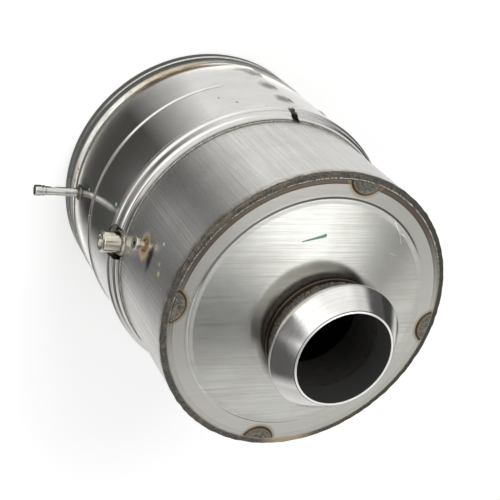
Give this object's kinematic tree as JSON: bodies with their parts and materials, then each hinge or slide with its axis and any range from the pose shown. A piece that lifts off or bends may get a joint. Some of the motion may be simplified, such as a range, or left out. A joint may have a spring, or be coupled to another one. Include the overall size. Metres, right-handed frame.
{
  "type": "diesel exhaust catalyst module",
  "caption": "Round stainless exhaust catalyst canister with an open joint flange at one end, an off-centre gas neck with a cone-nosed clamp flange at the other, and three side fittings.",
  "frame": {"origin": "centre of the rear joint flange's bore, in the plane of the joint face on which the module stands", "axes": "+Z along the canister's axis from the rear joint to the gas neck, +X towards the side to which the neck is offset"},
  "size_m": [0.3236, 0.3236, 0.379],
  "materials": {
    "can_steel": "satin stainless sheet with a fine grain and light scratches",
    "wrap_steel": "smooth rolled stainless sheet, heat tinted by the seam",
    "plate_steel": "pressed stainless sheet, brushed one way",
    "flange_steel": "turned stainless, bright",
    "joint_steel": "turned stainless, satin with brown weld tint",
    "weld_metal": "rough rippled weld bead, dark grey to brown",
    "fitting_steel": "turned stainless, bright",
    "liner_steel": "thin stainless sheet, dull and sooted",
    "fibre": "pressed fibre blanket",
    "mat": "swelling support mat",
    "wire_mesh": "knitted wire ring",
    "brick": "coated ceramic honeycomb with fine square channels"
  },
  "bodies": {
    "root": {"can_body": "can_steel", "rear_flange": "joint_steel", "rear_flange_weld": "weld_metal", "heat_wrap": "wrap_steel", "wrap_seam_welds": "weld_metal", "wrap_edge_weld": "weld_metal", "wrap_blanket": "fibre", "end_plate": "plate_steel", "plate_weld": "weld_metal", "plug_welds": "weld_metal", "neck_tube": "flange_steel", "neck_weld": "weld_metal", "neck_flange": "flange_steel", "neck_sleeve": "liner_steel", "liner_plate": "liner_steel", "plate_insulation": "fibre", "chamber_liner": "liner_steel", "chamber_insulation": "fibre", "liner_support": "liner_steel", "catalyst_brick": "brick", "support_mat": "mat", "rear_mat_seal": "wire_mesh", "front_mat_seal": "wire_mesh", "rear_retainer": "liner_steel", "front_retainer": "liner_steel", "sensor_boss": "fitting_steel", "sensor_boss_weld": "weld_metal", "pressure_port": "fitting_steel", "pressure_port_weld": "weld_metal", "pressure_tube": "fitting_steel", "tube_washer": "fitting_steel", "tube_weld": "weld_metal"}
  },
  "joints": []
}
